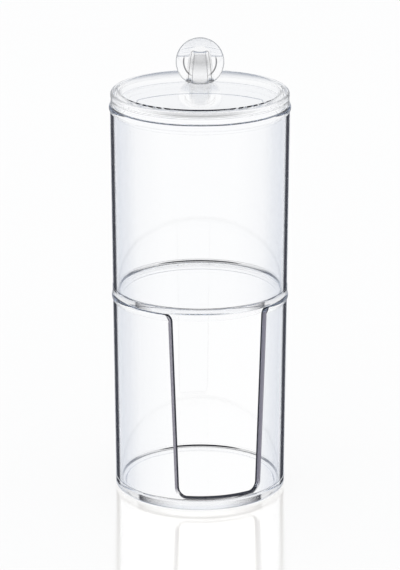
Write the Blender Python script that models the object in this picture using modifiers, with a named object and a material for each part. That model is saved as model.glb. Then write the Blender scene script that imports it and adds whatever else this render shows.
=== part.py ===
"""Two-tier cotton holder of clear moulded plastic: a slotted lower tier for pads, an upper jar for buds
that stacks on it, and a domed lid with a ball knob.

Lengths are in metres. +Z is up, the holder stands on z = 0 and the slot faces -Y.
"""

import math

import bmesh
import bpy

# Lower tier
LOWER_HEIGHT = 0.0896
LOWER_MOUTH_RADIUS = 0.0384
LOWER_BASE_RADIUS = 0.0375
LOWER_FLOOR_THICKNESS = 0.0027
LOWER_RING_HEIGHT = 0.0044
FOOT_RECESS = 0.0008
FOOT_RING_WIDTH = 0.0032
FOOT_ROUND = 0.0010

# Upper jar
UPPER_HEIGHT = 0.0848
UPPER_MOUTH_RADIUS = 0.0391
UPPER_BASE_RADIUS = 0.03835
UPPER_FLOOR_THICKNESS = 0.0031
UPPER_FLOOR_RISE = 0.0020
UPPER_RING_HEIGHT = 0.0028
SPIGOT_DEPTH = 0.0033
SPIGOT_WALL = 0.0020

# Both tiers
WALL = 0.0022
FLOOR_FILLET = 0.0009
MOUTH_ROUND = 0.0004
BEAD_HEIGHT = 0.0028
BEAD_SWELL = 0.0005
RING_SWELL = 0.00015

# Slot in the lower tier, its widths measured round the outside of the wall
SLOT_SILL = 0.0061
SLOT_SILL_WIDTH = 0.0387
SLOT_MOUTH_WIDTH = 0.0441
SLOT_SILL_CORNER = 0.0040
SLOT_MOUTH_CORNER = 0.0037
SLOT_OUTER_ROUND = 0.0014
SLOT_INNER_ROUND = 0.0005

# Lid
RIM_RADIUS = 0.0389
RIM_HEIGHT = 0.0054
RIM_TOP_ROUND = 0.0011
RIM_LOWER_ROUND = 0.0005
FLANGE_RADIUS = 0.0388
FLANGE_HEIGHT = 0.0023
GROOVE_DEPTH = 0.0009
GROOVE_WIDTH = 0.0005
DOME_RADIUS = 0.0355
DOME_STEP = 0.0005
DOME_RISE = 0.0034
PLATE_THICKNESS = 0.0022
PLUG_DEPTH = 0.0049
PLUG_WALL = 0.0020
PLUG_DRAFT = 0.0002
PLUG_ROUND = 0.0004
PEG_RADIUS = 0.0038
PEG_HEIGHT = 0.0022
SMALL_ROUND = 0.0003

# Ball knob
KNOB_RADIUS = 0.0105
KNOB_FOOT_RADIUS = 0.0060
SOCKET_MOUTH_RADIUS = 0.0044
SOCKET_END_RADIUS = 0.0031
SOCKET_DEPTH = 0.0125
SOCKET_END_ROUND = 0.0012

# Clearances
SEAT_GAP = 0.0003
SPIGOT_CLEARANCE = 0.00035
PLUG_CLEARANCE = 0.0004

# Reach of the slot's cutter on each side of the wall
CUTTER_INWARD = 0.0150
CUTTER_OUTWARD = 0.0200
CUTTER_UPWARD = 0.0050

# Facets
QUARTER = math.radians(90)
MOUTH_CORNER_TURN = math.radians(80)
SHARP_ANGLE = math.radians(32)
MERGE = 0.0001
TURNED_STEPS = 64
KNOB_STEPS = 40
BALL_STEPS = 16
DOME_STEPS = 7
BEAD_STEPS = 6
SLOT_CORNER_STEPS = 7
SLOT_RUN_STEPS = 5
FILLET_STEPS = 3
EDGE_STEPS = 2

# Places that follow from the dimensions
LOWER_FLOOR_TOP = FOOT_RECESS + LOWER_FLOOR_THICKNESS
UPPER_SEAT_Z = LOWER_HEIGHT + SEAT_GAP
LID_SEAT_Z = UPPER_HEIGHT + SEAT_GAP
DOME_TOP = RIM_HEIGHT + DOME_STEP + DOME_RISE
KNOB_SEAT_Z = DOME_TOP + SEAT_GAP
SPIGOT_RADIUS = LOWER_MOUTH_RADIUS - WALL - SPIGOT_CLEARANCE
PLUG_RADIUS = UPPER_MOUTH_RADIUS - WALL - PLUG_CLEARANCE


def clear_scene():
    for obj in list(bpy.data.objects):
        bpy.data.objects.remove(obj)


def new_collection(name):
    made = bpy.data.collections.new(name)
    bpy.context.scene.collection.children.link(made)
    return made


def clear_plastic(name, tint, roughness, refraction):
    """A see-through moulded plastic."""
    material = bpy.data.materials.new(name)
    material.use_nodes = True
    shader = material.node_tree.nodes["Principled BSDF"]
    shader.inputs["Base Color"].default_value = (*tint, 1)
    shader.inputs["Roughness"].default_value = roughness
    shader.inputs["Metallic"].default_value = 0
    shader.inputs["IOR"].default_value = refraction
    shader.inputs["Transmission Weight"].default_value = 1
    return material


def round_point(centre, radius, angle):
    """A point on a circle. Angle 0 points away from the axis, and a quarter turn points up."""
    return (centre[0] + radius * math.cos(angle), centre[1] + radius * math.sin(angle))


def arc(centre, radius, start, end, steps):
    """Points along a round stretch, from one angle to another."""
    return [round_point(centre, radius, start + (end - start) * i / steps) for i in range(steps + 1)]


def turned(name, profile, steps, material, into):
    """A solid of revolution. The profile is (radius, z) points that run down its outer side."""
    mesh = bpy.data.meshes.new(name)
    points = [(radius, 0, z) for radius, z in profile]
    mesh.from_pydata(points, [(i, i + 1) for i in range(len(points) - 1)], [])
    mesh.materials.append(material)
    obj = bpy.data.objects.new(name, mesh)
    into.objects.link(obj)
    screw = obj.modifiers.new("turn", "SCREW")
    screw.steps = steps
    screw.render_steps = steps
    screw.use_merge_vertices = True
    screw.merge_threshold = MERGE
    return obj


def shade_round_faces(obj):
    """Applies the modifiers, then shades the curved faces smooth and leaves the edges sharp."""
    graph = bpy.context.evaluated_depsgraph_get()
    mesh = bpy.data.meshes.new_from_object(obj.evaluated_get(graph))
    mesh.name = obj.name
    obj.modifiers.clear()
    obj.data = mesh
    mesh.shade_smooth()
    mesh.set_sharp_from_angle(angle=SHARP_ANGLE)


def place_on(obj, parent, height):
    obj.parent = parent
    obj.location.z = height


def wall_radius(z, height, mouth_radius, base_radius):
    """Outer radius of a tier's wall, which leans out by its moulding draft."""
    return base_radius + (mouth_radius - base_radius) * z / height


def bead_arc(radius, top):
    """The swell just below a mouth, from its upper end to its lower end on the wall."""
    bow = (BEAD_HEIGHT**2 / 4 + BEAD_SWELL**2) / (2 * BEAD_SWELL)
    half_turn = math.asin(BEAD_HEIGHT / 2 / bow)
    centre = (radius + BEAD_SWELL - bow, top - BEAD_HEIGHT / 2)
    return arc(centre, bow, half_turn, -half_turn, BEAD_STEPS)


def cup_profile(height, mouth_radius, base_radius, floor_top, ring_height):
    """A tier from the middle of its floor, up its inside, over its mouth and down to its base ring."""
    floor_edge = wall_radius(floor_top, height, mouth_radius, base_radius) - WALL
    ring_radius = wall_radius(ring_height, height, mouth_radius, base_radius)
    floor_corner = (floor_edge - FLOOR_FILLET, floor_top + FLOOR_FILLET)
    inner_edge = (mouth_radius - WALL + MOUTH_ROUND, height - MOUTH_ROUND)
    bead = bead_arc(mouth_radius, height)
    return [
        (0, floor_top),
        *arc(floor_corner, FLOOR_FILLET, -QUARTER, 0, FILLET_STEPS),
        *arc(inner_edge, MOUTH_ROUND, 2 * QUARTER, QUARTER, EDGE_STEPS),
        (mouth_radius - MOUTH_ROUND, height),
        *bead[1:],
        (ring_radius, ring_height + RING_SWELL),
        (ring_radius + RING_SWELL, ring_height),
    ]


def lower_tier_profile():
    foot_radius = LOWER_BASE_RADIUS + RING_SWELL
    recess_edge = foot_radius - FOOT_ROUND - FOOT_RING_WIDTH
    return [
        *cup_profile(
            LOWER_HEIGHT, LOWER_MOUTH_RADIUS, LOWER_BASE_RADIUS, LOWER_FLOOR_TOP, LOWER_RING_HEIGHT
        ),
        *arc((foot_radius - FOOT_ROUND, FOOT_ROUND), FOOT_ROUND, 0, -QUARTER, FILLET_STEPS),
        (recess_edge, 0),
        (recess_edge - FOOT_RECESS, FOOT_RECESS),
        (0, FOOT_RECESS),
    ]


def upper_jar_profile():
    seat_radius = UPPER_BASE_RADIUS + RING_SWELL
    floor_bottom = UPPER_FLOOR_RISE - UPPER_FLOOR_THICKNESS
    spigot_inside = SPIGOT_RADIUS - SPIGOT_WALL
    spigot_edge = (SPIGOT_RADIUS - SMALL_ROUND, SMALL_ROUND - SPIGOT_DEPTH)
    return [
        *cup_profile(
            UPPER_HEIGHT, UPPER_MOUTH_RADIUS, UPPER_BASE_RADIUS, UPPER_FLOOR_RISE, UPPER_RING_HEIGHT
        ),
        *arc((seat_radius - SMALL_ROUND, SMALL_ROUND), SMALL_ROUND, 0, -QUARTER, EDGE_STEPS),
        (SPIGOT_RADIUS, 0),
        *arc(spigot_edge, SMALL_ROUND, 0, -QUARTER, EDGE_STEPS),
        (spigot_inside, -SPIGOT_DEPTH),
        (spigot_inside, floor_bottom),
        (0, floor_bottom),
    ]


def dome_height(radius, top):
    """Height of the lid's shallow dome at a radius."""
    bow = (DOME_RADIUS**2 + DOME_RISE**2) / (2 * DOME_RISE)
    return top - bow + math.sqrt(bow**2 - radius**2)


def dome_line(start_radius, end_radius, top):
    points = []
    for step in range(DOME_STEPS + 1):
        radius = start_radius + (end_radius - start_radius) * step / DOME_STEPS
        points.append((radius, dome_height(radius, top)))
    return points


def lid_profile():
    """The lid from the peg on its middle, over the dome and rim, round the plug and under the dome."""
    peg_top = DOME_TOP + PEG_HEIGHT
    peg_edge = (PEG_RADIUS - SMALL_ROUND, peg_top - SMALL_ROUND)
    rim_bottom = FLANGE_HEIGHT + GROOVE_WIDTH
    groove_radius = RIM_RADIUS - GROOVE_DEPTH
    rim_upper_edge = (RIM_RADIUS - RIM_TOP_ROUND, RIM_HEIGHT - RIM_TOP_ROUND)
    rim_lower_edge = (RIM_RADIUS - RIM_LOWER_ROUND, rim_bottom + RIM_LOWER_ROUND)
    flange_edge = FLANGE_RADIUS - SMALL_ROUND
    plug_edge = (PLUG_RADIUS - PLUG_DRAFT - PLUG_ROUND, PLUG_ROUND - PLUG_DEPTH)
    plug_inside = PLUG_RADIUS - PLUG_WALL
    under_top = DOME_TOP - PLATE_THICKNESS
    under_radius = plug_inside - FLOOR_FILLET
    under_edge = (under_radius, dome_height(under_radius, under_top) - FLOOR_FILLET)
    return [
        (0, peg_top),
        *arc(peg_edge, SMALL_ROUND, QUARTER, 0, EDGE_STEPS),
        *dome_line(PEG_RADIUS, DOME_RADIUS, DOME_TOP),
        (DOME_RADIUS + DOME_STEP, RIM_HEIGHT),
        *arc(rim_upper_edge, RIM_TOP_ROUND, QUARTER, 0, FILLET_STEPS),
        *arc(rim_lower_edge, RIM_LOWER_ROUND, 0, -QUARTER, EDGE_STEPS),
        (groove_radius, rim_bottom),
        (groove_radius, FLANGE_HEIGHT),
        *arc((flange_edge, FLANGE_HEIGHT - SMALL_ROUND), SMALL_ROUND, QUARTER, 0, EDGE_STEPS),
        *arc((flange_edge, SMALL_ROUND), SMALL_ROUND, 0, -QUARTER, EDGE_STEPS),
        (PLUG_RADIUS, 0),
        *arc(plug_edge, PLUG_ROUND, 0, -QUARTER, EDGE_STEPS),
        (plug_inside + PLUG_DRAFT, -PLUG_DEPTH),
        *arc(under_edge, FLOOR_FILLET, 0, QUARTER, FILLET_STEPS),
        *dome_line(under_radius, 0, under_top)[1:],
    ]


def knob_profile():
    """The ball above its flat foot, with the blind socket in its underside."""
    centre_height = math.sqrt(KNOB_RADIUS**2 - KNOB_FOOT_RADIUS**2)
    foot_angle = math.asin(centre_height / KNOB_RADIUS)
    socket_edge = (SOCKET_END_RADIUS - SOCKET_END_ROUND, SOCKET_DEPTH - SOCKET_END_ROUND)
    return [
        *arc((0, centre_height), KNOB_RADIUS, QUARTER, -foot_angle, BALL_STEPS),
        (SOCKET_MOUTH_RADIUS, 0),
        *arc(socket_edge, SOCKET_END_ROUND, 0, QUARTER, FILLET_STEPS),
        (0, SOCKET_DEPTH),
    ]


def run(start, end):
    """Points between two ends of a straight stretch of the slot, without the ends."""
    points = []
    for step in range(1, SLOT_RUN_STEPS):
        share = step / SLOT_RUN_STEPS
        points.append(tuple(a + (b - a) * share for a, b in zip(start, end)))
    return points


def slot_half_outline(set_back):
    """Half of the slot's edge, from the middle of its sill up past the mouth, cut larger by a set-back.

    Points are (distance round the wall, z). The set-back fades out round the corner at the mouth.
    """
    lean = math.atan((SLOT_MOUTH_WIDTH - SLOT_SILL_WIDTH) / 2 / (LOWER_HEIGHT - SLOT_SILL))
    sill_around = SLOT_SILL_WIDTH / 2 - SLOT_SILL_CORNER * math.cos(lean)
    sill_centre = (sill_around, SLOT_SILL + SLOT_SILL_CORNER)
    mouth_around = SLOT_MOUTH_WIDTH / 2 + SLOT_MOUTH_CORNER * math.cos(lean)
    mouth_centre = (mouth_around, LOWER_HEIGHT - SLOT_MOUTH_CORNER)
    sill_corner = arc(sill_centre, SLOT_SILL_CORNER + set_back, -QUARTER, -lean, SLOT_CORNER_STEPS)
    mouth_corner = []
    for step in range(SLOT_CORNER_STEPS + 1):
        share = step / SLOT_CORNER_STEPS
        angle = 2 * QUARTER - lean - MOUTH_CORNER_TURN * share
        radius = SLOT_MOUTH_CORNER - set_back * (1 - share)
        mouth_corner.append(round_point(mouth_centre, radius, angle))
    sill_middle = (0, SLOT_SILL - set_back)
    return [
        sill_middle,
        *run(sill_middle, sill_corner[0]),
        *sill_corner,
        *run(sill_corner[-1], mouth_corner[0]),
        *mouth_corner,
        (mouth_corner[-1][0], LOWER_HEIGHT + CUTTER_UPWARD),
    ]


def cutter_sections():
    """(depth in the wall, set-back) pairs that round the slot's inner and outer edges."""
    inner_centre = (SLOT_INNER_ROUND, SLOT_INNER_ROUND - WALL)
    outer_centre = (SLOT_OUTER_ROUND, -SLOT_OUTER_ROUND)
    inner_edge = arc(inner_centre, SLOT_INNER_ROUND, -QUARTER, -2 * QUARTER, FILLET_STEPS)
    outer_edge = arc(outer_centre, SLOT_OUTER_ROUND, 2 * QUARTER, QUARTER, FILLET_STEPS)
    inward = (SLOT_INNER_ROUND, -WALL - CUTTER_INWARD)
    outward = (SLOT_OUTER_ROUND, CUTTER_OUTWARD)
    return [(depth, set_back) for set_back, depth in [inward, *inner_edge, *outer_edge, outward]]


def cutter_ring(shell, depth, set_back):
    """One closed ring of the slot's cutter, wrapped round the wall at a depth below its surface."""
    half = slot_half_outline(set_back)
    outline = [(-around, z) for around, z in reversed(half[1:])] + half
    ring = []
    for around, z in outline:
        angle = around / LOWER_MOUTH_RADIUS
        radius = depth + wall_radius(z, LOWER_HEIGHT, LOWER_MOUTH_RADIUS, LOWER_BASE_RADIUS)
        ring.append(shell.verts.new((radius * math.sin(angle), -radius * math.cos(angle), z)))
    return ring


def slot_cutter(into):
    """A loft through rings round the holder's axis, so the slot's faces stand square to the wall."""
    shell = bmesh.new()
    rings = [cutter_ring(shell, depth, set_back) for depth, set_back in cutter_sections()]
    for inside, outside in zip(rings, rings[1:]):
        for i, vert in enumerate(inside):
            after = (i + 1) % len(inside)
            shell.faces.new((vert, inside[after], outside[after], outside[i]))
    shell.faces.new(rings[0])
    shell.faces.new(rings[-1])
    bmesh.ops.recalc_face_normals(shell, faces=shell.faces)
    mesh = bpy.data.meshes.new("slot_cutter")
    shell.to_mesh(mesh)
    shell.free()
    cutter = bpy.data.objects.new("slot_cutter", mesh)
    into.objects.link(cutter)
    cutter.hide_render = True
    cutter.display_type = "WIRE"
    return cutter


def make_lower_tier(into, cutters):
    material = clear_plastic("lower_tier_clear", (0.97, 0.98, 0.99), 0.02, 1.49)
    tier = turned("lower_tier", lower_tier_profile(), TURNED_STEPS, material, into)
    slot = tier.modifiers.new("slot", "BOOLEAN")
    slot.operation = "DIFFERENCE"
    slot.solver = "EXACT"
    slot.object = slot_cutter(cutters)
    return tier


def make_upper_jar(into):
    material = clear_plastic("upper_jar_clear", (0.96, 0.98, 0.99), 0.02, 1.49)
    return turned("upper_jar", upper_jar_profile(), TURNED_STEPS, material, into)


def make_lid(into):
    material = clear_plastic("lid_clear", (0.97, 0.98, 0.99), 0.02, 1.49)
    return turned("lid", lid_profile(), TURNED_STEPS, material, into)


def make_ball_knob(into):
    material = clear_plastic("ball_knob_clear", (0.98, 0.98, 0.99), 0.01, 1.49)
    return turned("ball_knob", knob_profile(), KNOB_STEPS, material, into)


def main():
    clear_scene()
    holder = new_collection("cotton_holder")
    cutters = new_collection("cutters")
    lower_tier = make_lower_tier(holder, cutters)
    upper_jar = make_upper_jar(holder)
    lid = make_lid(holder)
    ball_knob = make_ball_knob(holder)
    place_on(upper_jar, lower_tier, UPPER_SEAT_Z)
    place_on(lid, upper_jar, LID_SEAT_Z)
    place_on(ball_knob, lid, KNOB_SEAT_Z)
    for piece in (lower_tier, upper_jar, lid, ball_knob):
        shade_round_faces(piece)


main()
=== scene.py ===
"""Two-tier cotton holder of clear moulded plastic: the fine surfaces, the plastic and the studio.

Lengths are in metres. +Z is up, the holder stands on z = 0 and the slot faces -Y.
"""

import math
from collections import namedtuple

import bmesh
import bpy
from bpy.props import FloatProperty, FloatVectorProperty, IntProperty, PointerProperty
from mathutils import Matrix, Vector


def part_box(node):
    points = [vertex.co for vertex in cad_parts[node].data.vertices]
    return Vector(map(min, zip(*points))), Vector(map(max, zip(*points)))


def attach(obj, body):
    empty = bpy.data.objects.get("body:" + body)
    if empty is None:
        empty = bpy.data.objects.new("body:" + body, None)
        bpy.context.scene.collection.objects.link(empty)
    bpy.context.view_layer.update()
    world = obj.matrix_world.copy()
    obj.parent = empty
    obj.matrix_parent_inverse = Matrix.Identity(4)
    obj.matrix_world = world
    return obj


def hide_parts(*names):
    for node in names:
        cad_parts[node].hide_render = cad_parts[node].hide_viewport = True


bl_info = {
    "name": "Two-tier cotton holder",
    "version": (1, 0, 0),
    "blender": (4, 5, 0),
    "location": "View3D > Sidebar > Holder",
    "description": "Makes the clear tiers, lid and knob of a cotton holder, and a pale studio round them",
    "category": "Object",
}

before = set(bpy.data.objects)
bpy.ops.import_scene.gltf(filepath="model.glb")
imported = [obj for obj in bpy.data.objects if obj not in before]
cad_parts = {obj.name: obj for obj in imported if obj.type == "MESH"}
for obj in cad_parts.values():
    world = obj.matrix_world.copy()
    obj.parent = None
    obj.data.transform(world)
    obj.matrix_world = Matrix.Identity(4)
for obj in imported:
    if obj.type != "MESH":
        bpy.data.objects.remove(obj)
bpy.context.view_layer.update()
TIER_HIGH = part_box("lower_tier")[1]
JAR_LOW, JAR_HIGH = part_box("upper_jar")
LID_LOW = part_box("lid")[0]
KNOB_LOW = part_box("ball_knob")[0]

QUARTER = math.radians(90)
SPIGOT_DEPTH = 0.0033
PLUG_DEPTH = 0.0049
JAR_SEAT = JAR_LOW.z + SPIGOT_DEPTH


def length(name, description, default):
    """A size in metres."""
    return FloatProperty(name=name, description=description, default=default, unit="LENGTH")


def number(name, description, default):
    """A plain number."""
    return FloatProperty(name=name, description=description, default=default)


def coloured(name, description, default):
    """A colour, as red, green and blue."""
    return FloatVectorProperty(name=name, description=description, default=default, subtype="COLOR")


def angled(name, description, default):
    """An angle in radians."""
    return FloatProperty(name=name, description=description, default=default, subtype="ANGLE")


class TierSizes(bpy.types.PropertyGroup):
    """Sizes that both tiers have."""

    wall: length("Wall", "Thickness of the wall", 0.0022)
    floor_fillet: length("Floor fillet", "Radius where the floor meets the wall", 0.0009)
    mouth_round: length("Mouth round", "Radius of the mouth's inner edge", 0.0004)
    bead_height: length("Bead height", "Height of the swell below the mouth", 0.0028)
    bead_swell: length("Bead swell", "How far the bead stands out of the wall", 0.0005)
    ring_swell: length("Ring swell", "How far the base ring stands out of the wall", 0.00015)


class LowerSizes(bpy.types.PropertyGroup):
    """Sizes of the lower tier and its slot."""

    height: length("Height", "Foot to mouth", TIER_HIGH.z)
    mouth_radius: length("Mouth radius", "Outside of the wall at the mouth", 0.0384)
    base_radius: length("Base radius", "Outside of the wall at the foot", 0.0375)
    floor_thickness: length("Floor", "Thickness of the floor", 0.0027)
    ring_height: length("Ring height", "Height of the base ring", 0.0044)
    foot_recess: length("Foot recess", "Depth of the underside inside the foot ring", 0.0008)
    foot_width: length("Foot width", "Width of the foot ring", 0.0032)
    foot_round: length("Foot round", "Radius of the foot's outer edge", 0.0010)
    slot_sill: length("Slot sill", "Height of the sill", 0.0061)
    slot_sill_width: length("Slot width at the sill", "Measured round the wall", 0.0387)
    slot_mouth_width: length("Slot width at the mouth", "Measured round the wall", 0.0441)
    sill_corner: length("Sill corner", "Radius of the slot's lower corners", 0.0040)
    mouth_corner: length("Mouth corner", "Radius of the wall's corners at the mouth", 0.0037)
    slot_outer_round: length("Slot outer round", "Radius of the slot's outer edge", 0.0014)
    slot_inner_round: length("Slot inner round", "Radius of the slot's inner edge", 0.0005)


class JarSizes(bpy.types.PropertyGroup):
    """Sizes of the upper jar."""

    seat: length("Seat", "Height that the jar rests at", JAR_SEAT)
    height: length("Height", "Seat to mouth", JAR_HIGH.z - JAR_SEAT)
    mouth_radius: length("Mouth radius", "Outside of the wall at the mouth", 0.0391)
    base_radius: length("Base radius", "Outside of the wall at the seat", 0.03835)
    floor_thickness: length("Floor", "Thickness of the floor", 0.0031)
    floor_rise: length("Floor rise", "Height of the floor above the seat", 0.0020)
    ring_height: length("Ring height", "Height of the base ring", 0.0028)
    spigot_radius: length("Spigot radius", "Outside of the spigot", 0.03585)
    spigot_depth: length("Spigot depth", "How far the spigot reaches down", SPIGOT_DEPTH)
    spigot_wall: length("Spigot wall", "Thickness of the spigot", 0.0020)


class LidSizes(bpy.types.PropertyGroup):
    """Sizes of the lid."""

    seat: length("Seat", "Height that the lid rests at", LID_LOW.z + PLUG_DEPTH)
    rim_radius: length("Rim radius", "Outside of the rim", 0.0389)
    rim_height: length("Rim height", "Seat to the rim's top", 0.0054)
    rim_top_round: length("Rim top round", "Radius of the rim's upper edge", 0.0011)
    rim_lower_round: length("Rim lower round", "Radius of the rim's lower edge", 0.0005)
    flange_radius: length("Flange radius", "Outside of the flange", 0.0388)
    flange_height: length("Flange height", "Height of the flange", 0.0023)
    groove_depth: length("Groove depth", "Depth of the groove round the lid", 0.0009)
    groove_width: length("Groove width", "Height of the groove", 0.0005)
    dome_radius: length("Dome radius", "Edge of the dome", 0.0355)
    dome_step: length("Dome step", "Height of the step at the dome's edge", 0.0005)
    dome_rise: length("Dome rise", "Edge of the dome to its top", 0.0034)
    plate: length("Plate", "Thickness of the dome", 0.0022)
    plug_radius: length("Plug radius", "Outside of the plug", 0.0365)
    plug_depth: length("Plug depth", "How far the plug reaches down", PLUG_DEPTH)
    plug_wall: length("Plug wall", "Thickness of the plug", 0.0020)
    plug_draft: length("Plug draft", "Taper of the plug", 0.0002)
    plug_round: length("Plug round", "Radius of the plug's end", 0.0004)
    peg_radius: length("Peg radius", "Peg that the knob sits over", 0.0038)
    peg_height: length("Peg height", "Height of the peg", 0.0022)
    small_round: length("Small round", "Radius of small edges", 0.0003)


class KnobSizes(bpy.types.PropertyGroup):
    """Sizes of the ball knob."""

    seat: length("Seat", "Height of the knob's foot", KNOB_LOW.z)
    radius: length("Radius", "Radius of the ball", 0.0105)
    foot_radius: length("Foot radius", "Radius of the flat foot", 0.0060)
    socket_mouth: length("Socket mouth", "Radius of the socket at the foot", 0.0044)
    socket_end: length("Socket end", "Radius of the socket near its end", 0.0031)
    socket_depth: length("Socket depth", "Depth of the socket", 0.0125)
    socket_round: length("Socket round", "Radius at the socket's end", 0.0012)


class PlasticLooks(bpy.types.PropertyGroup):
    """How the clear plastic looks."""

    refraction: number("Refraction", "Index of refraction", 1.5)
    roughness: number("Roughness", "Polish of the moulded surface", 0.0)
    tint: coloured("Tint", "Colour left after the light crosses one surface", (0.995, 0.997, 1.0))
    depth: coloured("Depth", "Colour that long ways through the plastic take", (0.70, 0.72, 0.78))
    density: number("Density", "How strongly long ways darken", 3.0)
    # Painted shade: the dark colour laid over the clear plastic at its edges and lines
    outline: coloured("Outline", "Colour of the dark outlines", (0.018, 0.020, 0.032))
    # Painted shade: a blue-grey laid over the walls towards their edges
    painted_wall_shade: coloured("Wall tone", "Colour that the walls take towards their edges", (0.42, 0.49, 0.64))
    # Painted shade: a grey laid over the slot's rounded outer edge
    painted_slot_shade: coloured("Slot edge", "Colour of the slot's rounded outer edge", (0.25, 0.24, 0.29))


class StudioLooks(bpy.types.PropertyGroup):
    """Camera and light."""

    camera_turn: angled("Camera turn", "How far the camera stands towards -X", math.radians(14.0))
    camera_drop: angled("Camera drop", "How far the camera looks down", math.radians(17.36))
    camera_distance: length("Camera distance", "Camera to the axis", 1.535)
    aim_height: length("Aim height", "Height on the axis that the camera looks at", 0.0920)
    lens: FloatProperty(name="Lens", description="Focal length", default=219.7, unit="CAMERA")
    floor_size: length("Floor size", "Half the floor's side", 2.0)
    floor_grey: number("Floor grey", "Part of the floor that takes shadow", 0.18)
    floor_gloss: number("Floor gloss", "Part of the floor that mirrors", 0.34)
    floor_polish: number("Floor polish", "Roughness of the floor's mirror", 0.10)
    mirrored_floor: coloured("Mirrored floor", "The floor in the plastic's reflections", (0.80, 0.83, 0.88))


class Facets(bpy.types.PropertyGroup):
    """How finely round shapes are divided."""

    turned: IntProperty(name="Turned", description="Steps round the axis", default=256)
    quarter: IntProperty(name="Quarter", description="Steps in a quarter turn of a small radius", default=8)
    small: IntProperty(name="Small", description="Steps in a quarter turn of the smallest edges", default=4)
    bow: IntProperty(name="Bow", description="Steps along a shallow curve", default=24)


PROPERTY_GROUPS = {
    "holder_tiers": TierSizes,
    "holder_lower": LowerSizes,
    "holder_jar": JarSizes,
    "holder_lid": LidSizes,
    "holder_knob": KnobSizes,
    "holder_plastic": PlasticLooks,
    "holder_studio": StudioLooks,
    "holder_facets": Facets,
}

# Turning and cutting
TURNED_INPUTS = (("Profile", "Geometry"), ("Steps", "Int"), ("Seam", "Float"), ("Plastic", "Material"))
SEAM = 1e-6
SHARP = math.radians(28)
LARGE_FACES_LEAD = 100
MOUTH_CORNER_TURN = math.radians(80)
CUTTER_REACH = 0.015

# Readings of the surface. At an even blend the layer weight is 1 less the facing's cosine.
EVEN_BLEND = 0.5
LEAST_OUTWARD = 0.2

# Ramps of (reading, strength) for the painted shade: dark edges, lines and patches mixed into the clear
# plastic as a matt colour
UPRIGHT = ((0.15, 1), (0.4, 0))
WALL_OUTLINE = ((0.67, 0), (0.70, 0.12), (0.745, 0.93), (0.85, 0.95), (0.93, 0.4))
# Painted shade: the blue-grey over the walls as they turn from the viewer
WALL_PAINTED_SHADE = ((0.12, 0), (0.33, 0.08), (0.45, 0.22), (0.6, 0.3), (0.68, 0.22))
RIM_OUTLINE = ((0.76, 0), (0.84, 0.5), (0.95, 0.5))
RIM_FRONT = ((0.05, 0.26), (0.15, 0))
FLOOR_PATCHES = ((0.10, 0), (0.25, 0.45), (0.355, 0.92), (0.375, 0.15))
RING_PATCHES = ((0.20, 0), (0.33, 0.6), (0.355, 0.8), (0.375, 0.1))
CORNER_LINE = ((0.02, 1), (0.10, 0.95), (0.14, 0.25), (0.30, 0.3), (0.42, 0.9), (0.55, 0.7), (0.70, 0.3))
CREASE_LINE = ((0.155, 1), (0.17, 0.9), (0.20, 0.2), (0.5, 0.1))
# Painted shade: a dark streak down each side of the ball, and a dark edge round it
BALL_STREAKS = ((0.225, 0), (0.25, 0.75), (0.28, 0.75), (0.30, 0))
STREAK_LENGTH = ((0.28, 1), (0.42, 0))
BALL_RIM = ((0.87, 0), (0.93, 0.35), (0.98, 0.2))
SOCKET_SIDES = ((0.37, 0), (0.42, 0.6), (0.46, 0.6), (0.53, 0))
# Painted reflection: the grey that the socket's walls take up their height
SOCKET_PAINTED_REFLECTION = (
    (0.12, 0.3), (0.22, 0.2), (0.29, 0.06), (0.40, 0.02), (0.51, 0.08), (0.73, 0.3), (0.86, 0.1), (0.96, 0),
)
SLOT_STANDS = ((0.3, 1), (0.6, 0))
SILL_DARK = ((0.25, 0.95), (0.95, 0))
SILL_TOP = ((0.3, 0), (0.5, 1))
SLOT_ROUND = ((0.2, 0.8), (0.985, 0.95))
SLOT_TURNED = ((0.14, 0), (0.22, 0.9))
SLOT_INWARD = ((0.70, 1), (0.82, 0))

# Ramps of (how steeply a ray points up, brightness) for the studio
SKY = ((0.50, 1), (0.66, 0.42), (0.9, 0.42), (0.97, 0.65))
MIRRORED_SKY = ((0.0, 0.25), (0.10, 0.8), (0.17, 0.95), (0.25, 0.8), (0.45, 0.6), (0.66, 0.3))
SKY_CAST = (1.12, 1.0, 0.8)
WHITE = (1, 1, 1, 1)

# Light that is caught in the clear walls leaves them after many bounces
ALL_BOUNCES = 48
CLEAR_BOUNCES = 32


def arc(centre, radius, start, end, steps):
    """Points along a round stretch. Angle 0 points away from the axis, and a quarter turn points up."""
    points = []
    for step in range(steps + 1):
        angle = start + (end - start) * step / steps
        points.append((centre[0] + radius * math.cos(angle), centre[1] + radius * math.sin(angle)))
    return points


def marked_for_painted_shade(points):
    """Marks points that painted shade follows, such as a fine dark line."""
    return [(*point[:2], 1) for point in points]


def wall_radius(z, tier):
    """Outer radius of a tier's wall, which leans out by its moulding draft."""
    return tier.base_radius + (tier.mouth_radius - tier.base_radius) * z / tier.height


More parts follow.
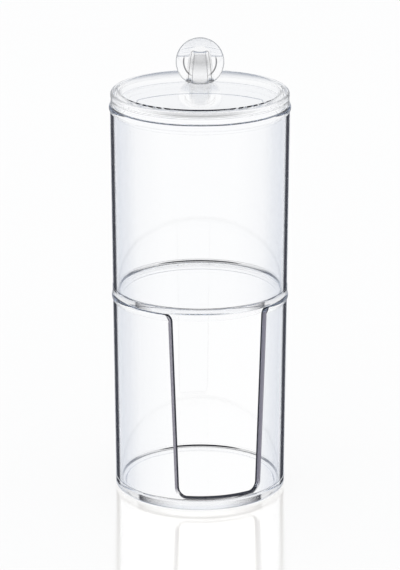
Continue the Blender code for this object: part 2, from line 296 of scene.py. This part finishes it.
def cup_profile(tiers, tier, floor_top, facets):
    """A tier from the middle of its floor, up its inside, over its mouth and down to its base ring."""
    quarter = facets.quarter
    height, mouth = tier.height, tier.mouth_radius
    floor_edge = wall_radius(floor_top, tier) - tiers.wall
    ring_radius = wall_radius(tier.ring_height, tier)
    fillet, mouth_round = tiers.floor_fillet, tiers.mouth_round
    floor_corner = (floor_edge - fillet, floor_top + fillet)
    inner_edge = (mouth - tiers.wall + mouth_round, height - mouth_round)
    bow = (tiers.bead_height**2 / 4 + tiers.bead_swell**2) / (2 * tiers.bead_swell)
    half_turn = math.asin(tiers.bead_height / 2 / bow)
    bead_centre = (mouth + tiers.bead_swell - bow, height - tiers.bead_height / 2)
    bead = arc(bead_centre, bow, half_turn, -half_turn, 2 * quarter)
    return [
        (0, floor_top),
        # The floor's fillet takes a painted dark line
        *marked_for_painted_shade(arc(floor_corner, fillet, -QUARTER, 0, quarter)),
        *arc(inner_edge, mouth_round, 2 * QUARTER, QUARTER, quarter),
        (mouth - mouth_round, height),
        *bead[1:],
        (ring_radius, tier.ring_height + tiers.ring_swell),
        (ring_radius + tiers.ring_swell, tier.ring_height),
    ]


def lower_profile(tiers, tier, facets):
    floor_top = tier.foot_recess + tier.floor_thickness
    foot_radius = tier.base_radius + tiers.ring_swell
    recess_edge = foot_radius - tier.foot_round - tier.foot_width
    foot_centre = (foot_radius - tier.foot_round, tier.foot_round)
    return [
        *cup_profile(tiers, tier, floor_top, facets),
        *arc(foot_centre, tier.foot_round, 0, -QUARTER, facets.quarter),
        (recess_edge, 0),
        (recess_edge - tier.foot_recess, tier.foot_recess),
        (0, tier.foot_recess),
    ]


def jar_profile(tiers, jar, small_round, facets):
    seat_radius = jar.base_radius + tiers.ring_swell
    floor_bottom = jar.floor_rise - jar.floor_thickness
    spigot_inside = jar.spigot_radius - jar.spigot_wall
    spigot_centre = (jar.spigot_radius - small_round, small_round - jar.spigot_depth)
    return [
        *cup_profile(tiers, jar, jar.floor_rise, facets),
        *arc((seat_radius - small_round, small_round), small_round, 0, -QUARTER, facets.small),
        (jar.spigot_radius, 0),
        *arc(spigot_centre, small_round, 0, -QUARTER, facets.small),
        (spigot_inside, -jar.spigot_depth),
        (spigot_inside, floor_bottom),
        (0, floor_bottom),
    ]


def dome_height(lid, radius, top):
    bow = (lid.dome_radius**2 + lid.dome_rise**2) / (2 * lid.dome_rise)
    return top - bow + math.sqrt(bow**2 - radius**2)


def dome_line(lid, start_radius, end_radius, top, steps):
    points = []
    for step in range(steps + 1):
        radius = start_radius + (end_radius - start_radius) * step / steps
        points.append((radius, dome_height(lid, radius, top)))
    return points


def lid_profile(tiers, lid, facets):
    """The lid from the peg on its middle, over the dome and rim, round the plug and under the dome."""
    quarter, bow, few = facets.quarter, facets.bow, facets.small
    small = lid.small_round
    top = lid.rim_height + lid.dome_step + lid.dome_rise
    peg_top = top + lid.peg_height
    rim_bottom = lid.flange_height + lid.groove_width
    groove_radius = lid.rim_radius - lid.groove_depth
    rim_upper = (lid.rim_radius - lid.rim_top_round, lid.rim_height - lid.rim_top_round)
    rim_lower = (lid.rim_radius - lid.rim_lower_round, rim_bottom + lid.rim_lower_round)
    flange_edge = lid.flange_radius - small
    plug_edge = (lid.plug_radius - lid.plug_draft - lid.plug_round, lid.plug_round - lid.plug_depth)
    plug_inside = lid.plug_radius - lid.plug_wall
    under_top = top - lid.plate
    under_radius = plug_inside - tiers.floor_fillet
    under_edge = (under_radius, dome_height(lid, under_radius, under_top) - tiers.floor_fillet)
    crease_top = (lid.dome_radius, lid.rim_height + lid.dome_step)
    crease_foot = (lid.dome_radius + lid.dome_step, lid.rim_height)
    return [
        (0, peg_top),
        *arc((lid.peg_radius - small, peg_top - small), small, QUARTER, 0, few),
        *dome_line(lid, lid.peg_radius, lid.dome_radius, top, bow)[:-1],
        # The crease takes a painted dark line
        *marked_for_painted_shade([crease_top, crease_foot]),
        *arc(rim_upper, lid.rim_top_round, QUARTER, 0, quarter),
        *arc(rim_lower, lid.rim_lower_round, 0, -QUARTER, quarter),
        (groove_radius, rim_bottom),
        (groove_radius, lid.flange_height),
        *arc((flange_edge, lid.flange_height - small), small, QUARTER, 0, few),
        *arc((flange_edge, small), small, 0, -QUARTER, few),
        (lid.plug_radius, 0),
        *arc(plug_edge, lid.plug_round, 0, -QUARTER, few),
        (plug_inside + lid.plug_draft, -lid.plug_depth),
        *arc(under_edge, tiers.floor_fillet, 0, QUARTER, quarter),
        *dome_line(lid, under_radius, 0, under_top, bow)[1:],
    ]


def knob_profile(knob, facets):
    """The ball above its flat foot, with the blind socket in its underside."""
    centre_height = math.sqrt(knob.radius**2 - knob.foot_radius**2)
    foot_angle = math.asin(centre_height / knob.radius)
    socket_centre = (knob.socket_end - knob.socket_round, knob.socket_depth - knob.socket_round)
    return [
        *arc((0, centre_height), knob.radius, QUARTER, -foot_angle, 4 * facets.bow),
        # The socket is marked for its painted shade and painted reflection
        (knob.socket_mouth, 0, 1),
        *marked_for_painted_shade(arc(socket_centre, knob.socket_round, 0, QUARTER, facets.quarter)),
        (0, knob.socket_depth, 1),
    ]


def node(tree, kind, *inputs, **named):
    """Adds a node. Plain values go to its sockets in order, and named ones to its options or sockets.

    A value is a number, a colour or another node's output.
    """
    made = tree.nodes.new(kind)
    sockets = {}
    for name, value in named.items():
        if hasattr(made, name):
            setattr(made, name, value)
        else:
            sockets[name.replace("_", " ")] = value
    sockets.update(enumerate(inputs))
    for place, value in sockets.items():
        if isinstance(value, bpy.types.NodeSocket):
            tree.links.new(value, made.inputs[place])
        else:
            made.inputs[place].default_value = value
    return made


def maths(tree, operation, *values):
    return node(tree, "ShaderNodeMath", *values, operation=operation).outputs[0]


def times(tree, *values):
    product = values[0]
    for value in values[1:]:
        product = maths(tree, "MULTIPLY", product, value)
    return product


def strongest(tree, *values):
    most = values[0]
    for value in values[1:]:
        most = maths(tree, "MAXIMUM", most, value)
    return most


def sampled(tree, geometry, value, index, kind):
    """Reads a value of a geometry's points by their number."""
    return node(
        tree, "GeometryNodeSampleIndex", data_type=kind, Geometry=geometry, Value=value, Index=index
    ).outputs["Value"]


def turned_tree():
    """Turns a profile round the Z axis. Its points run in order from the axis back to the axis."""
    tree = bpy.data.node_groups.new("turned_piece", "GeometryNodeTree")
    for name, kind in TURNED_INPUTS:
        tree.interface.new_socket(name, in_out="INPUT", socket_type="NodeSocket" + kind)
    tree.interface.new_socket("Turned", in_out="OUTPUT", socket_type="NodeSocketGeometry")
    given = node(tree, "NodeGroupInput").outputs
    profile, steps = given["Profile"], given["Steps"]
    count = node(tree, "GeometryNodeAttributeDomainSize", profile).outputs["Point Count"]
    grid = node(tree, "GeometryNodeMeshGrid", Vertices_X=maths(tree, "ADD", steps, 1), Vertices_Y=count)
    index = node(tree, "GeometryNodeInputIndex").outputs[0]
    column = maths(tree, "FLOOR", maths(tree, "DIVIDE", index, count))
    row = maths(tree, "MODULO", index, count)
    position = node(tree, "GeometryNodeInputPosition").outputs[0]
    line = node(tree, "GeometryNodeInputNamedAttribute", Name="line").outputs["Attribute"]
    place = sampled(tree, profile, position, row, "FLOAT_VECTOR")
    angle = maths(tree, "MULTIPLY", maths(tree, "DIVIDE", column, steps), 4 * QUARTER)
    turned = node(tree, "ShaderNodeVectorRotate", rotation_type="Z_AXIS", Vector=place, Angle=angle)
    put = node(tree, "GeometryNodeSetPosition", Geometry=grid.outputs["Mesh"], Position=turned.outputs[0])
    keep = node(
        tree, "GeometryNodeStoreNamedAttribute", Geometry=put.outputs[0], Name="line",
        Value=sampled(tree, profile, line, row, "FLOAT"),
    )
    weld = node(tree, "GeometryNodeMergeByDistance", Geometry=keep.outputs[0], Distance=given["Seam"])
    paint = node(tree, "GeometryNodeSetMaterial", Geometry=weld.outputs[0], Material=given["Plastic"])
    real = node(tree, "GeometryNodeRealizeInstances", Geometry=paint.outputs[0])
    node(tree, "NodeGroupOutput", real.outputs[0])
    return tree


def socket_id(tree, name):
    for item in tree.interface.items_tree:
        if item.in_out == "INPUT" and item.name == name:
            return item.identifier
    raise KeyError(name)


def as_plain_mesh(obj):
    """Applies what the object's modifiers make."""
    graph = bpy.context.evaluated_depsgraph_get()
    mesh = bpy.data.meshes.new_from_object(obj.evaluated_get(graph))
    mesh.name = obj.name
    obj.modifiers.clear()
    obj.data = mesh


def mark_painted_shade_faces(mesh):
    """Marks the faces that painted shade follows, such as a fine dark line, and turns all faces outwards.
    """
    shell = bmesh.new()
    shell.from_mesh(mesh)
    line = shell.verts.layers.float["line"]
    painted_shade_mark = shell.faces.layers.float.new("painted_shade_mark")
    for face in shell.faces:
        face.material_index = 0
        face[painted_shade_mark] = min(corner[line] for corner in face.verts)
    bmesh.ops.recalc_face_normals(shell, faces=shell.faces)
    if shell.calc_volume(signed=True) < 0:
        bmesh.ops.reverse_faces(shell, faces=shell.faces)
    shell.to_mesh(mesh)
    shell.free()


def turned_piece(name, profile, height, material, steps):
    """A solid of revolution. The profile is (radius, z) points, with a 1 after those that painted shade
    follows.

    The height is where the profile's z = 0 lies.
    """
    mesh = bpy.data.meshes.new(name)
    points = [(point[0], 0, point[1] + height) for point in profile]
    mesh.from_pydata(points, [(i, i + 1) for i in range(len(points) - 1)], [])
    line = mesh.attributes.new("line", "FLOAT", "POINT")
    line.data.foreach_set("value", [point[2] if len(point) > 2 else 0 for point in profile])
    obj = bpy.data.objects.new(name, mesh)
    bpy.context.scene.collection.objects.link(obj)
    tree = bpy.data.node_groups.get("turned_piece") or turned_tree()
    turn = obj.modifiers.new("turn", "NODES")
    turn.node_group = tree
    turn[socket_id(tree, "Steps")] = steps
    turn[socket_id(tree, "Seam")] = SEAM
    turn[socket_id(tree, "Plastic")] = material
    as_plain_mesh(obj)
    obj.data.materials.clear()
    obj.data.materials.append(material)
    mark_painted_shade_faces(obj.data)
    return obj


def smooth(obj):
    """Smooth shading that leaves the edges sharp and keeps the large faces true."""
    obj.data.shade_smooth()
    obj.data.set_sharp_from_angle(angle=SHARP)
    weighted = obj.modifiers.new("weighted", "WEIGHTED_NORMAL")
    weighted.keep_sharp = True
    weighted.weight = LARGE_FACES_LEAD
    as_plain_mesh(obj)


def mark_cut(mesh, value):
    """Marks which faces the slot's cut made."""
    cut = mesh.attributes.new("cut", "FLOAT", "FACE")
    cut.data.foreach_set("value", [value] * len(mesh.polygons))


def run(start, end, steps):
    """Points between two ends of a straight stretch, without the ends."""
    points = []
    for step in range(1, steps):
        share = step / steps
        points.append(tuple(a + (b - a) * share for a, b in zip(start, end)))
    return points


def slot_outline(tier, set_back, facets):
    """The slot's edge, cut larger by a set-back that fades out round the corners at the mouth.

    Points are (distance round the wall, z).
    """
    lean = math.atan((tier.slot_mouth_width - tier.slot_sill_width) / 2 / (tier.height - tier.slot_sill))
    sill_around = tier.slot_sill_width / 2 - tier.sill_corner * math.cos(lean)
    sill_centre = (sill_around, tier.slot_sill + tier.sill_corner)
    mouth_around = tier.slot_mouth_width / 2 + tier.mouth_corner * math.cos(lean)
    mouth_centre = (mouth_around, tier.height - tier.mouth_corner)
    corner_steps = 2 * facets.quarter
    sill_corner = arc(sill_centre, tier.sill_corner + set_back, -QUARTER, -lean, corner_steps)
    mouth_corner = []
    for step in range(corner_steps + 1):
        share = step / corner_steps
        angle = 2 * QUARTER - lean - MOUTH_CORNER_TURN * share
        radius = tier.mouth_corner - set_back * (1 - share)
        mouth_corner.append(
            (mouth_centre[0] + radius * math.cos(angle), mouth_centre[1] + radius * math.sin(angle))
        )
    middle = (0, tier.slot_sill - set_back)
    half = [
        middle,
        *run(middle, sill_corner[0], facets.bow),
        *sill_corner,
        *run(sill_corner[-1], mouth_corner[0], facets.bow),
        *mouth_corner,
        (mouth_corner[-1][0], tier.height + CUTTER_REACH),
    ]
    return [(-around, z) for around, z in reversed(half[1:])] + half


def cutter_ring(shell, tier, depth, outline):
    """One closed ring of the slot's cutter, wrapped round the wall at a depth below its surface."""
    ring = []
    for around, z in outline:
        angle = around / tier.mouth_radius
        radius = depth + wall_radius(z, tier)
        ring.append(shell.verts.new((radius * math.sin(angle), -radius * math.cos(angle), z)))
    return ring


def slot_cutter(tiers, tier, facets):
    """A loft through rings round the axis, with the slot's inner and outer edges rounded."""
    wall, outer, inner = tiers.wall, tier.slot_outer_round, tier.slot_inner_round
    inner_edge = arc((inner, inner - wall), inner, -QUARTER, -2 * QUARTER, facets.quarter)
    outer_edge = arc((outer, -outer), outer, 2 * QUARTER, QUARTER, facets.quarter)
    sections = [(inner, -wall - CUTTER_REACH), *inner_edge, *outer_edge, (outer, CUTTER_REACH)]
    shell = bmesh.new()
    rings = []
    for set_back, depth in sections:
        rings.append(cutter_ring(shell, tier, depth, slot_outline(tier, set_back, facets)))
    for inside, outside in zip(rings, rings[1:]):
        for i, vert in enumerate(inside):
            after = (i + 1) % len(inside)
            shell.faces.new((vert, inside[after], outside[after], outside[i]))
    shell.faces.new(rings[0])
    shell.faces.new(rings[-1])
    bmesh.ops.recalc_face_normals(shell, faces=shell.faces)
    mesh = bpy.data.meshes.new("slot_cutter")
    shell.to_mesh(mesh)
    shell.free()
    mark_cut(mesh, 1.0)
    cutter = bpy.data.objects.new("slot_cutter", mesh)
    bpy.context.scene.collection.objects.link(cutter)
    return cutter


def cut_slot(piece, cutter):
    mark_cut(piece.data, 0.0)
    slot = piece.modifiers.new("slot", "BOOLEAN")
    slot.operation = "DIFFERENCE"
    slot.solver = "EXACT"
    slot.object = cutter
    as_plain_mesh(piece)
    bpy.data.objects.remove(cutter)


def ramp(tree, value, stops, cast=(1, 1, 1)):
    """A grey ramp through stops of (position, brightness). The cast's powers colour the greys."""
    made = node(tree, "ShaderNodeValToRGB", value)
    while len(made.color_ramp.elements) < len(stops):
        made.color_ramp.elements.new(0)
    for element, (position, brightness) in zip(made.color_ramp.elements, stops):
        element.position = position
        element.color = (*(brightness**power for power in cast), 1)
    return made.outputs[0]


# Readings at a point of the surface: how far it turns from the viewer, how far it faces away from the
# axis, how far it faces up or down, and its height
Skin = namedtuple("Skin", "turned outward level height")


def read_skin(tree):
    place = node(tree, "ShaderNodeTexCoord").outputs
    flat = node(tree, "ShaderNodeVectorMath", place["Object"], (1, 1, 0), operation="MULTIPLY")
    away = node(tree, "ShaderNodeVectorMath", flat.outputs[0], operation="NORMALIZE")
    outward = node(tree, "ShaderNodeVectorMath", away.outputs[0], place["Normal"], operation="DOT_PRODUCT")
    rise = node(tree, "ShaderNodeSeparateXYZ", place["Normal"]).outputs["Z"]
    return Skin(
        node(tree, "ShaderNodeLayerWeight", Blend=EVEN_BLEND).outputs["Facing"],
        outward.outputs["Value"],
        maths(tree, "ABSOLUTE", rise),
        node(tree, "ShaderNodeSeparateXYZ", place["Object"]).outputs["Z"],
    )


def attribute(tree, name):
    return node(tree, "ShaderNodeAttribute", attribute_name=name).outputs["Fac"]


def outer_side(tree, skin):
    """1 on upright faces that look away from the axis."""
    outward = maths(tree, "GREATER_THAN", skin.outward, LEAST_OUTWARD)
    return times(tree, outward, ramp(tree, skin.level, UPRIGHT))


def between(tree, value, low, high):
    return times(tree, maths(tree, "GREATER_THAN", value, low), maths(tree, "LESS_THAN", value, high))


def outline(tree, skin, stops, low, high):
    """Painted shade: a dark edge on what stands upright between two heights."""
    return times(
        tree, ramp(tree, skin.turned, stops), outer_side(tree, skin), between(tree, skin.height, low, high)
    )


# Painted shade: a dark line on the marked faces, as strong as the ramp gives for how far they turn from the
# viewer
def painted_line(tree, skin, stops):
    return times(tree, attribute(tree, "painted_shade_mark"), ramp(tree, skin.turned, stops))


def sill_nearness(tree, skin, tier):
    """1 on the slot's sill. It fades out as the slot's lower corners rise from it."""
    rise = maths(tree, "DIVIDE", maths(tree, "SUBTRACT", skin.height, tier.slot_sill), tier.sill_corner)
    return ramp(tree, rise, SILL_DARK)


def slot_round_shade(tree, skin, tier):
    """Painted shade: the grey of the slot's rounded outer edge."""
    stands = ramp(tree, skin.level, SLOT_STANDS)
    above_sill = maths(tree, "SUBTRACT", 1, sill_nearness(tree, skin, tier))
    return times(tree, attribute(tree, "cut"), ramp(tree, skin.outward, SLOT_ROUND), stands, above_sill)


def slot_inside_shade(tree, skin):
    """Painted shade: the dark of the slot's edge where it turns from the viewer."""
    inward = ramp(tree, skin.outward, SLOT_INWARD)
    return times(tree, attribute(tree, "cut"), ramp(tree, skin.turned, SLOT_TURNED), inward)


def slot_sill(tree, skin, tier):
    """Painted shade: the dark of the sill's upper side."""
    top = ramp(tree, skin.level, SILL_TOP)
    return times(tree, attribute(tree, "cut"), sill_nearness(tree, skin, tier), top)


def ball_painted_shade(tree, skin):
    """Painted shade: a fine dark edge round the ball, and a dark streak down each side of it."""
    ball = maths(tree, "SUBTRACT", 1, attribute(tree, "painted_shade_mark"))
    streaks = times(tree, ramp(tree, skin.turned, BALL_STREAKS), ramp(tree, skin.level, STREAK_LENGTH))
    return times(tree, ball, strongest(tree, streaks, ramp(tree, skin.turned, BALL_RIM)))


def socket_painted_shade(tree, skin, low, depth):
    """Painted shade: the socket's dark sides, and a painted reflection: the grey of its upper half."""
    up = maths(tree, "DIVIDE", maths(tree, "SUBTRACT", skin.height, low), depth)
    sides = ramp(tree, skin.turned, SOCKET_SIDES)
    return times(tree, attribute(tree, "painted_shade_mark"), strongest(tree, sides, ramp(tree, up, SOCKET_PAINTED_REFLECTION)))


def paint_shade(tree, surface, strength, colour):
    """Paints shade: lays a matt colour over a surface."""
    shade = node(tree, "ShaderNodeBsdfDiffuse", Color=(*colour, 1)).outputs[0]
    return node(tree, "ShaderNodeMixShader", strength, surface, shade).outputs[0]


def no_painted_tones(tree, skin):
    return []


def clear_plastic(name, looks, find_painted_shades, find_painted_tones=no_painted_tones):
    """Clear moulded plastic, with the dark edges that a bright studio gives it painted in as matt shade.

    The tones are painted shade too: pairs of a strength and a colour, which lie under the painted dark
    edges.
    """
    material = bpy.data.materials.new(name)
    material.use_nodes = True
    tree = material.node_tree
    plastic = tree.nodes["Principled BSDF"]
    plastic.inputs["Base Color"].default_value = (*looks.tint, 1)
    plastic.inputs["Roughness"].default_value = looks.roughness
    plastic.inputs["IOR"].default_value = looks.refraction
    plastic.inputs["Transmission Weight"].default_value = 1
    skin = read_skin(tree)
    surface = plastic.outputs[0]
    # Painted shade: the tones, then the dark edges and lines, are mixed over the clear plastic
    for strength, colour in find_painted_tones(tree, skin):
        surface = paint_shade(tree, surface, strength, colour)
    outlines = strongest(tree, *find_painted_shades(tree, skin))
    surface = paint_shade(tree, surface, outlines, looks.outline)
    inside = node(tree, "ShaderNodeVolumeAbsorption", Color=(*looks.depth, 1), Density=looks.density)
    output = tree.nodes["Material Output"]
    tree.links.new(surface, output.inputs["Surface"])
    tree.links.new(inside.outputs[0], output.inputs["Volume"])
    return material


class HOLDER_OT_lower_tier(bpy.types.Operator):
    """Make the slotted lower tier"""

    bl_idname = "holder.lower_tier"
    bl_label = "Lower tier"

    def execute(self, context):
        scene = context.scene
        tiers, tier, facets = scene.holder_tiers, scene.holder_lower, scene.holder_facets
        looks = scene.holder_plastic
        floor_top = tier.foot_recess + tier.floor_thickness
        bead_foot = tier.height - tiers.bead_height

        # Painted shade: a blue-grey towards the walls' edges and a grey on the slot's rounded edge
        def tones(tree, skin):
            wall = outline(tree, skin, WALL_PAINTED_SHADE, floor_top, bead_foot)
            return [(wall, looks.painted_wall_shade), (slot_round_shade(tree, skin, tier), looks.painted_slot_shade)]

        # Painted shade: dark wall and rim edges, floor patches, the floor corner's line and the slot's
        # edges
        def outlines(tree, skin):
            return [
                outline(tree, skin, WALL_OUTLINE, floor_top - tiers.wall / 2, bead_foot),
                outline(tree, skin, RIM_OUTLINE, bead_foot, tier.height),
                outline(tree, skin, FLOOR_PATCHES, tier.foot_recess, floor_top),
                painted_line(tree, skin, CORNER_LINE),
                slot_inside_shade(tree, skin),
                slot_sill(tree, skin, tier),
            ]

        material = clear_plastic("lower_tier_plastic", looks, outlines, tones)
        profile = lower_profile(tiers, tier, facets)
        piece = turned_piece("fine_lower_tier", profile, 0, material, facets.turned)
        cut_slot(piece, slot_cutter(tiers, tier, facets))
        smooth(piece)
        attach(piece, "lower_tier")
        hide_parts("lower_tier")
        return {"FINISHED"}


class HOLDER_OT_upper_jar(bpy.types.Operator):
    """Make the upper jar"""

    bl_idname = "holder.upper_jar"
    bl_label = "Upper jar"

    def execute(self, context):
        scene = context.scene
        tiers, jar, facets = scene.holder_tiers, scene.holder_jar, scene.holder_facets
        looks = scene.holder_plastic
        floor_top = jar.seat + jar.floor_rise
        mouth = jar.seat + jar.height
        bead_foot = mouth - tiers.bead_height

        # Painted shade: a blue-grey towards the walls' edges
        def tones(tree, skin):
            return [(outline(tree, skin, WALL_PAINTED_SHADE, floor_top, bead_foot), looks.painted_wall_shade)]

        # Painted shade: dark wall and rim edges, ring patches and the floor corner's line
        def outlines(tree, skin):
            return [
                outline(tree, skin, WALL_OUTLINE, floor_top, bead_foot),
                outline(tree, skin, RIM_OUTLINE, bead_foot, mouth),
                outline(tree, skin, RIM_OUTLINE, jar.seat, floor_top),
                outline(tree, skin, RING_PATCHES, jar.seat, jar.seat + jar.ring_height),
                painted_line(tree, skin, CORNER_LINE),
            ]

        material = clear_plastic("upper_jar_plastic", looks, outlines, tones)
        profile = jar_profile(tiers, jar, scene.holder_lid.small_round, facets)
        piece = turned_piece("fine_upper_jar", profile, jar.seat, material, facets.turned)
        smooth(piece)
        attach(piece, "upper_jar")
        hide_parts("upper_jar")
        return {"FINISHED"}


class HOLDER_OT_lid(bpy.types.Operator):
    """Make the domed lid"""

    bl_idname = "holder.lid"
    bl_label = "Lid"

    def execute(self, context):
        scene = context.scene
        tiers, lid, facets = scene.holder_tiers, scene.holder_lid, scene.holder_facets

        # Painted shade: dark rim edges and a dark line along the crease
        def outlines(tree, skin):
            rim_foot, rim_top = lid.seat + lid.flange_height + lid.groove_width, lid.seat + lid.rim_height
            return [
                outline(tree, skin, RIM_OUTLINE, lid.seat, rim_top),
                outline(tree, skin, RIM_FRONT, rim_foot, rim_top),
                painted_line(tree, skin, CREASE_LINE),
            ]

        material = clear_plastic("lid_plastic", scene.holder_plastic, outlines)
        profile = lid_profile(tiers, lid, facets)
        piece = turned_piece("fine_lid", profile, lid.seat, material, facets.turned)
        smooth(piece)
        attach(piece, "lid")
        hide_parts("lid")
        return {"FINISHED"}


class HOLDER_OT_ball_knob(bpy.types.Operator):
    """Make the ball knob"""

    bl_idname = "holder.ball_knob"
    bl_label = "Ball knob"

    def execute(self, context):
        knob, facets = context.scene.holder_knob, context.scene.holder_facets

        # Painted shade on the ball's edge and sides and in the socket
        def outlines(tree, skin):
            return [ball_painted_shade(tree, skin), socket_painted_shade(tree, skin, knob.seat, knob.socket_depth)]

        material = clear_plastic("ball_knob_plastic", context.scene.holder_plastic, outlines)
        profile = knob_profile(knob, facets)
        piece = turned_piece("fine_ball_knob", profile, knob.seat, material, facets.turned)
        smooth(piece)
        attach(piece, "lid")
        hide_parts("ball_knob")
        return {"FINISHED"}


def mirrored_ray(tree):
    """1 for rays that come off a glossy surface, 0 for those that passed through plastic."""
    path = node(tree, "ShaderNodeLightPath").outputs
    straight = maths(tree, "SUBTRACT", 1, path["Is Transmission Ray"])
    return times(tree, path["Is Glossy Ray"], straight)


def make_world():
    """White up to a low height all round, and darker above it for what the plastic shows."""
    world = bpy.data.worlds.new("studio")
    bpy.context.scene.world = world
    world.use_nodes = True
    tree = world.node_tree
    aim = node(tree, "ShaderNodeTexCoord").outputs["Generated"]
    rise = node(tree, "ShaderNodeSeparateXYZ", aim).outputs["Z"]
    through = node(tree, "ShaderNodeBackground", Color=ramp(tree, rise, SKY, SKY_CAST)).outputs[0]
    mirrored = node(tree, "ShaderNodeBackground", Color=ramp(tree, rise, MIRRORED_SKY, SKY_CAST)).outputs[0]
    white = node(tree, "ShaderNodeBackground", Color=WHITE).outputs[0]
    path = node(tree, "ShaderNodeLightPath").outputs
    plain = maths(tree, "MAXIMUM", path["Is Camera Ray"], path["Is Diffuse Ray"])
    sky = node(tree, "ShaderNodeMixShader", mirrored_ray(tree), through, mirrored).outputs[0]
    whole = node(tree, "ShaderNodeMixShader", plain, sky, white).outputs[0]
    tree.links.new(whole, tree.nodes["World Output"].inputs["Surface"])


def glow(tree, strength, colour=(1, 1, 1)):
    return node(tree, "ShaderNodeEmission", Color=(*colour, 1), Strength=strength).outputs[0]


def floor_material(studio):
    """White for the camera, with a soft shadow and a soft mirror of the holder.

    The floor's own glow makes up for what its mirror takes from the darker parts of the sky.
    """
    material = bpy.data.materials.new("white_floor")
    material.use_nodes = True
    tree = material.node_tree
    tree.nodes.remove(tree.nodes["Principled BSDF"])
    grey = studio.floor_grey
    matt = node(tree, "ShaderNodeBsdfDiffuse", Color=(grey, grey, grey, 1)).outputs[0]
    lit = node(tree, "ShaderNodeAddShader", matt, glow(tree, 1 - grey)).outputs[0]
    polish = studio.floor_polish
    mirror = node(tree, "ShaderNodeBsdfAnisotropic", Color=WHITE, Roughness=polish).outputs[0]
    glossy = node(tree, "ShaderNodeMixShader", studio.floor_gloss, lit, mirror).outputs[0]
    low_look = node(tree, "ShaderNodeLayerWeight", Blend=EVEN_BLEND).outputs["Facing"]
    rise = maths(tree, "SUBTRACT", 1, low_look)
    mirrored_sky = ramp(tree, rise, MIRRORED_SKY, SKY_CAST)
    lacking = node(tree, "ShaderNodeVectorMath", (1, 1, 1), mirrored_sky, operation="SUBTRACT").outputs[0]
    even = node(tree, "ShaderNodeEmission", Color=lacking, Strength=studio.floor_gloss).outputs[0]
    seen = node(tree, "ShaderNodeAddShader", glossy, even).outputs[0]
    through = node(tree, "ShaderNodeLightPath").outputs["Is Transmission Ray"]
    straight = node(tree, "ShaderNodeMixShader", through, seen, glow(tree, 1)).outputs[0]
    mirrored = glow(tree, 1, studio.mirrored_floor)
    whole = node(tree, "ShaderNodeMixShader", mirrored_ray(tree), straight, mirrored).outputs[0]
    tree.links.new(whole, tree.nodes["Material Output"].inputs["Surface"])
    return material


def make_floor(studio):
    mesh = bpy.data.meshes.new("floor")
    shell = bmesh.new()
    bmesh.ops.create_grid(shell, x_segments=1, y_segments=1, size=studio.floor_size)
    shell.to_mesh(mesh)
    shell.free()
    mesh.materials.append(floor_material(studio))
    floor = bpy.data.objects.new("floor", mesh)
    bpy.context.scene.collection.objects.link(floor)


def make_camera(studio):
    data = bpy.data.cameras.new("camera")
    data.lens = studio.lens
    camera = bpy.data.objects.new("camera", data)
    bpy.context.scene.collection.objects.link(camera)
    turn, drop = studio.camera_turn, studio.camera_drop
    back = Vector((-math.sin(turn) * math.cos(drop), -math.cos(turn) * math.cos(drop), math.sin(drop)))
    camera.location = Vector((0, 0, studio.aim_height)) + back * studio.camera_distance
    camera.rotation_mode = "QUATERNION"
    camera.rotation_quaternion = (-back).to_track_quat("-Z", "Y")
    bpy.context.scene.camera = camera


class HOLDER_OT_studio(bpy.types.Operator):
    """Make the floor, light and camera"""

    bl_idname = "holder.studio"
    bl_label = "Studio"

    def execute(self, context):
        scene = context.scene
        make_world()
        make_floor(scene.holder_studio)
        make_camera(scene.holder_studio)
        scene.view_settings.view_transform = "Standard"
        scene.cycles.max_bounces = ALL_BOUNCES
        scene.cycles.glossy_bounces = CLEAR_BOUNCES
        scene.cycles.transmission_bounces = CLEAR_BOUNCES
        return {"FINISHED"}


OPERATORS = (
    HOLDER_OT_lower_tier, HOLDER_OT_upper_jar, HOLDER_OT_lid, HOLDER_OT_ball_knob, HOLDER_OT_studio,
)


class HOLDER_PT_panel(bpy.types.Panel):
    """Lists the holder's pieces"""

    bl_idname = "HOLDER_PT_panel"
    bl_label = "Cotton holder"
    bl_space_type = "VIEW_3D"
    bl_region_type = "UI"
    bl_category = "Holder"

    def draw(self, context):
        for operator in OPERATORS:
            self.layout.operator(operator.bl_idname)


def register():
    for name, group in PROPERTY_GROUPS.items():
        bpy.utils.register_class(group)
        setattr(bpy.types.Scene, name, PointerProperty(type=group))
    for operator in OPERATORS:
        bpy.utils.register_class(operator)
    bpy.utils.register_class(HOLDER_PT_panel)


def unregister():
    bpy.utils.unregister_class(HOLDER_PT_panel)
    for operator in reversed(OPERATORS):
        bpy.utils.unregister_class(operator)
    for name, group in reversed(PROPERTY_GROUPS.items()):
        delattr(bpy.types.Scene, name)
        bpy.utils.unregister_class(group)


def main():
    register()
    bpy.ops.holder.lower_tier()
    bpy.ops.holder.upper_jar()
    bpy.ops.holder.lid()
    bpy.ops.holder.ball_knob()
    bpy.ops.holder.studio()


if __name__ == "__main__":
    main()
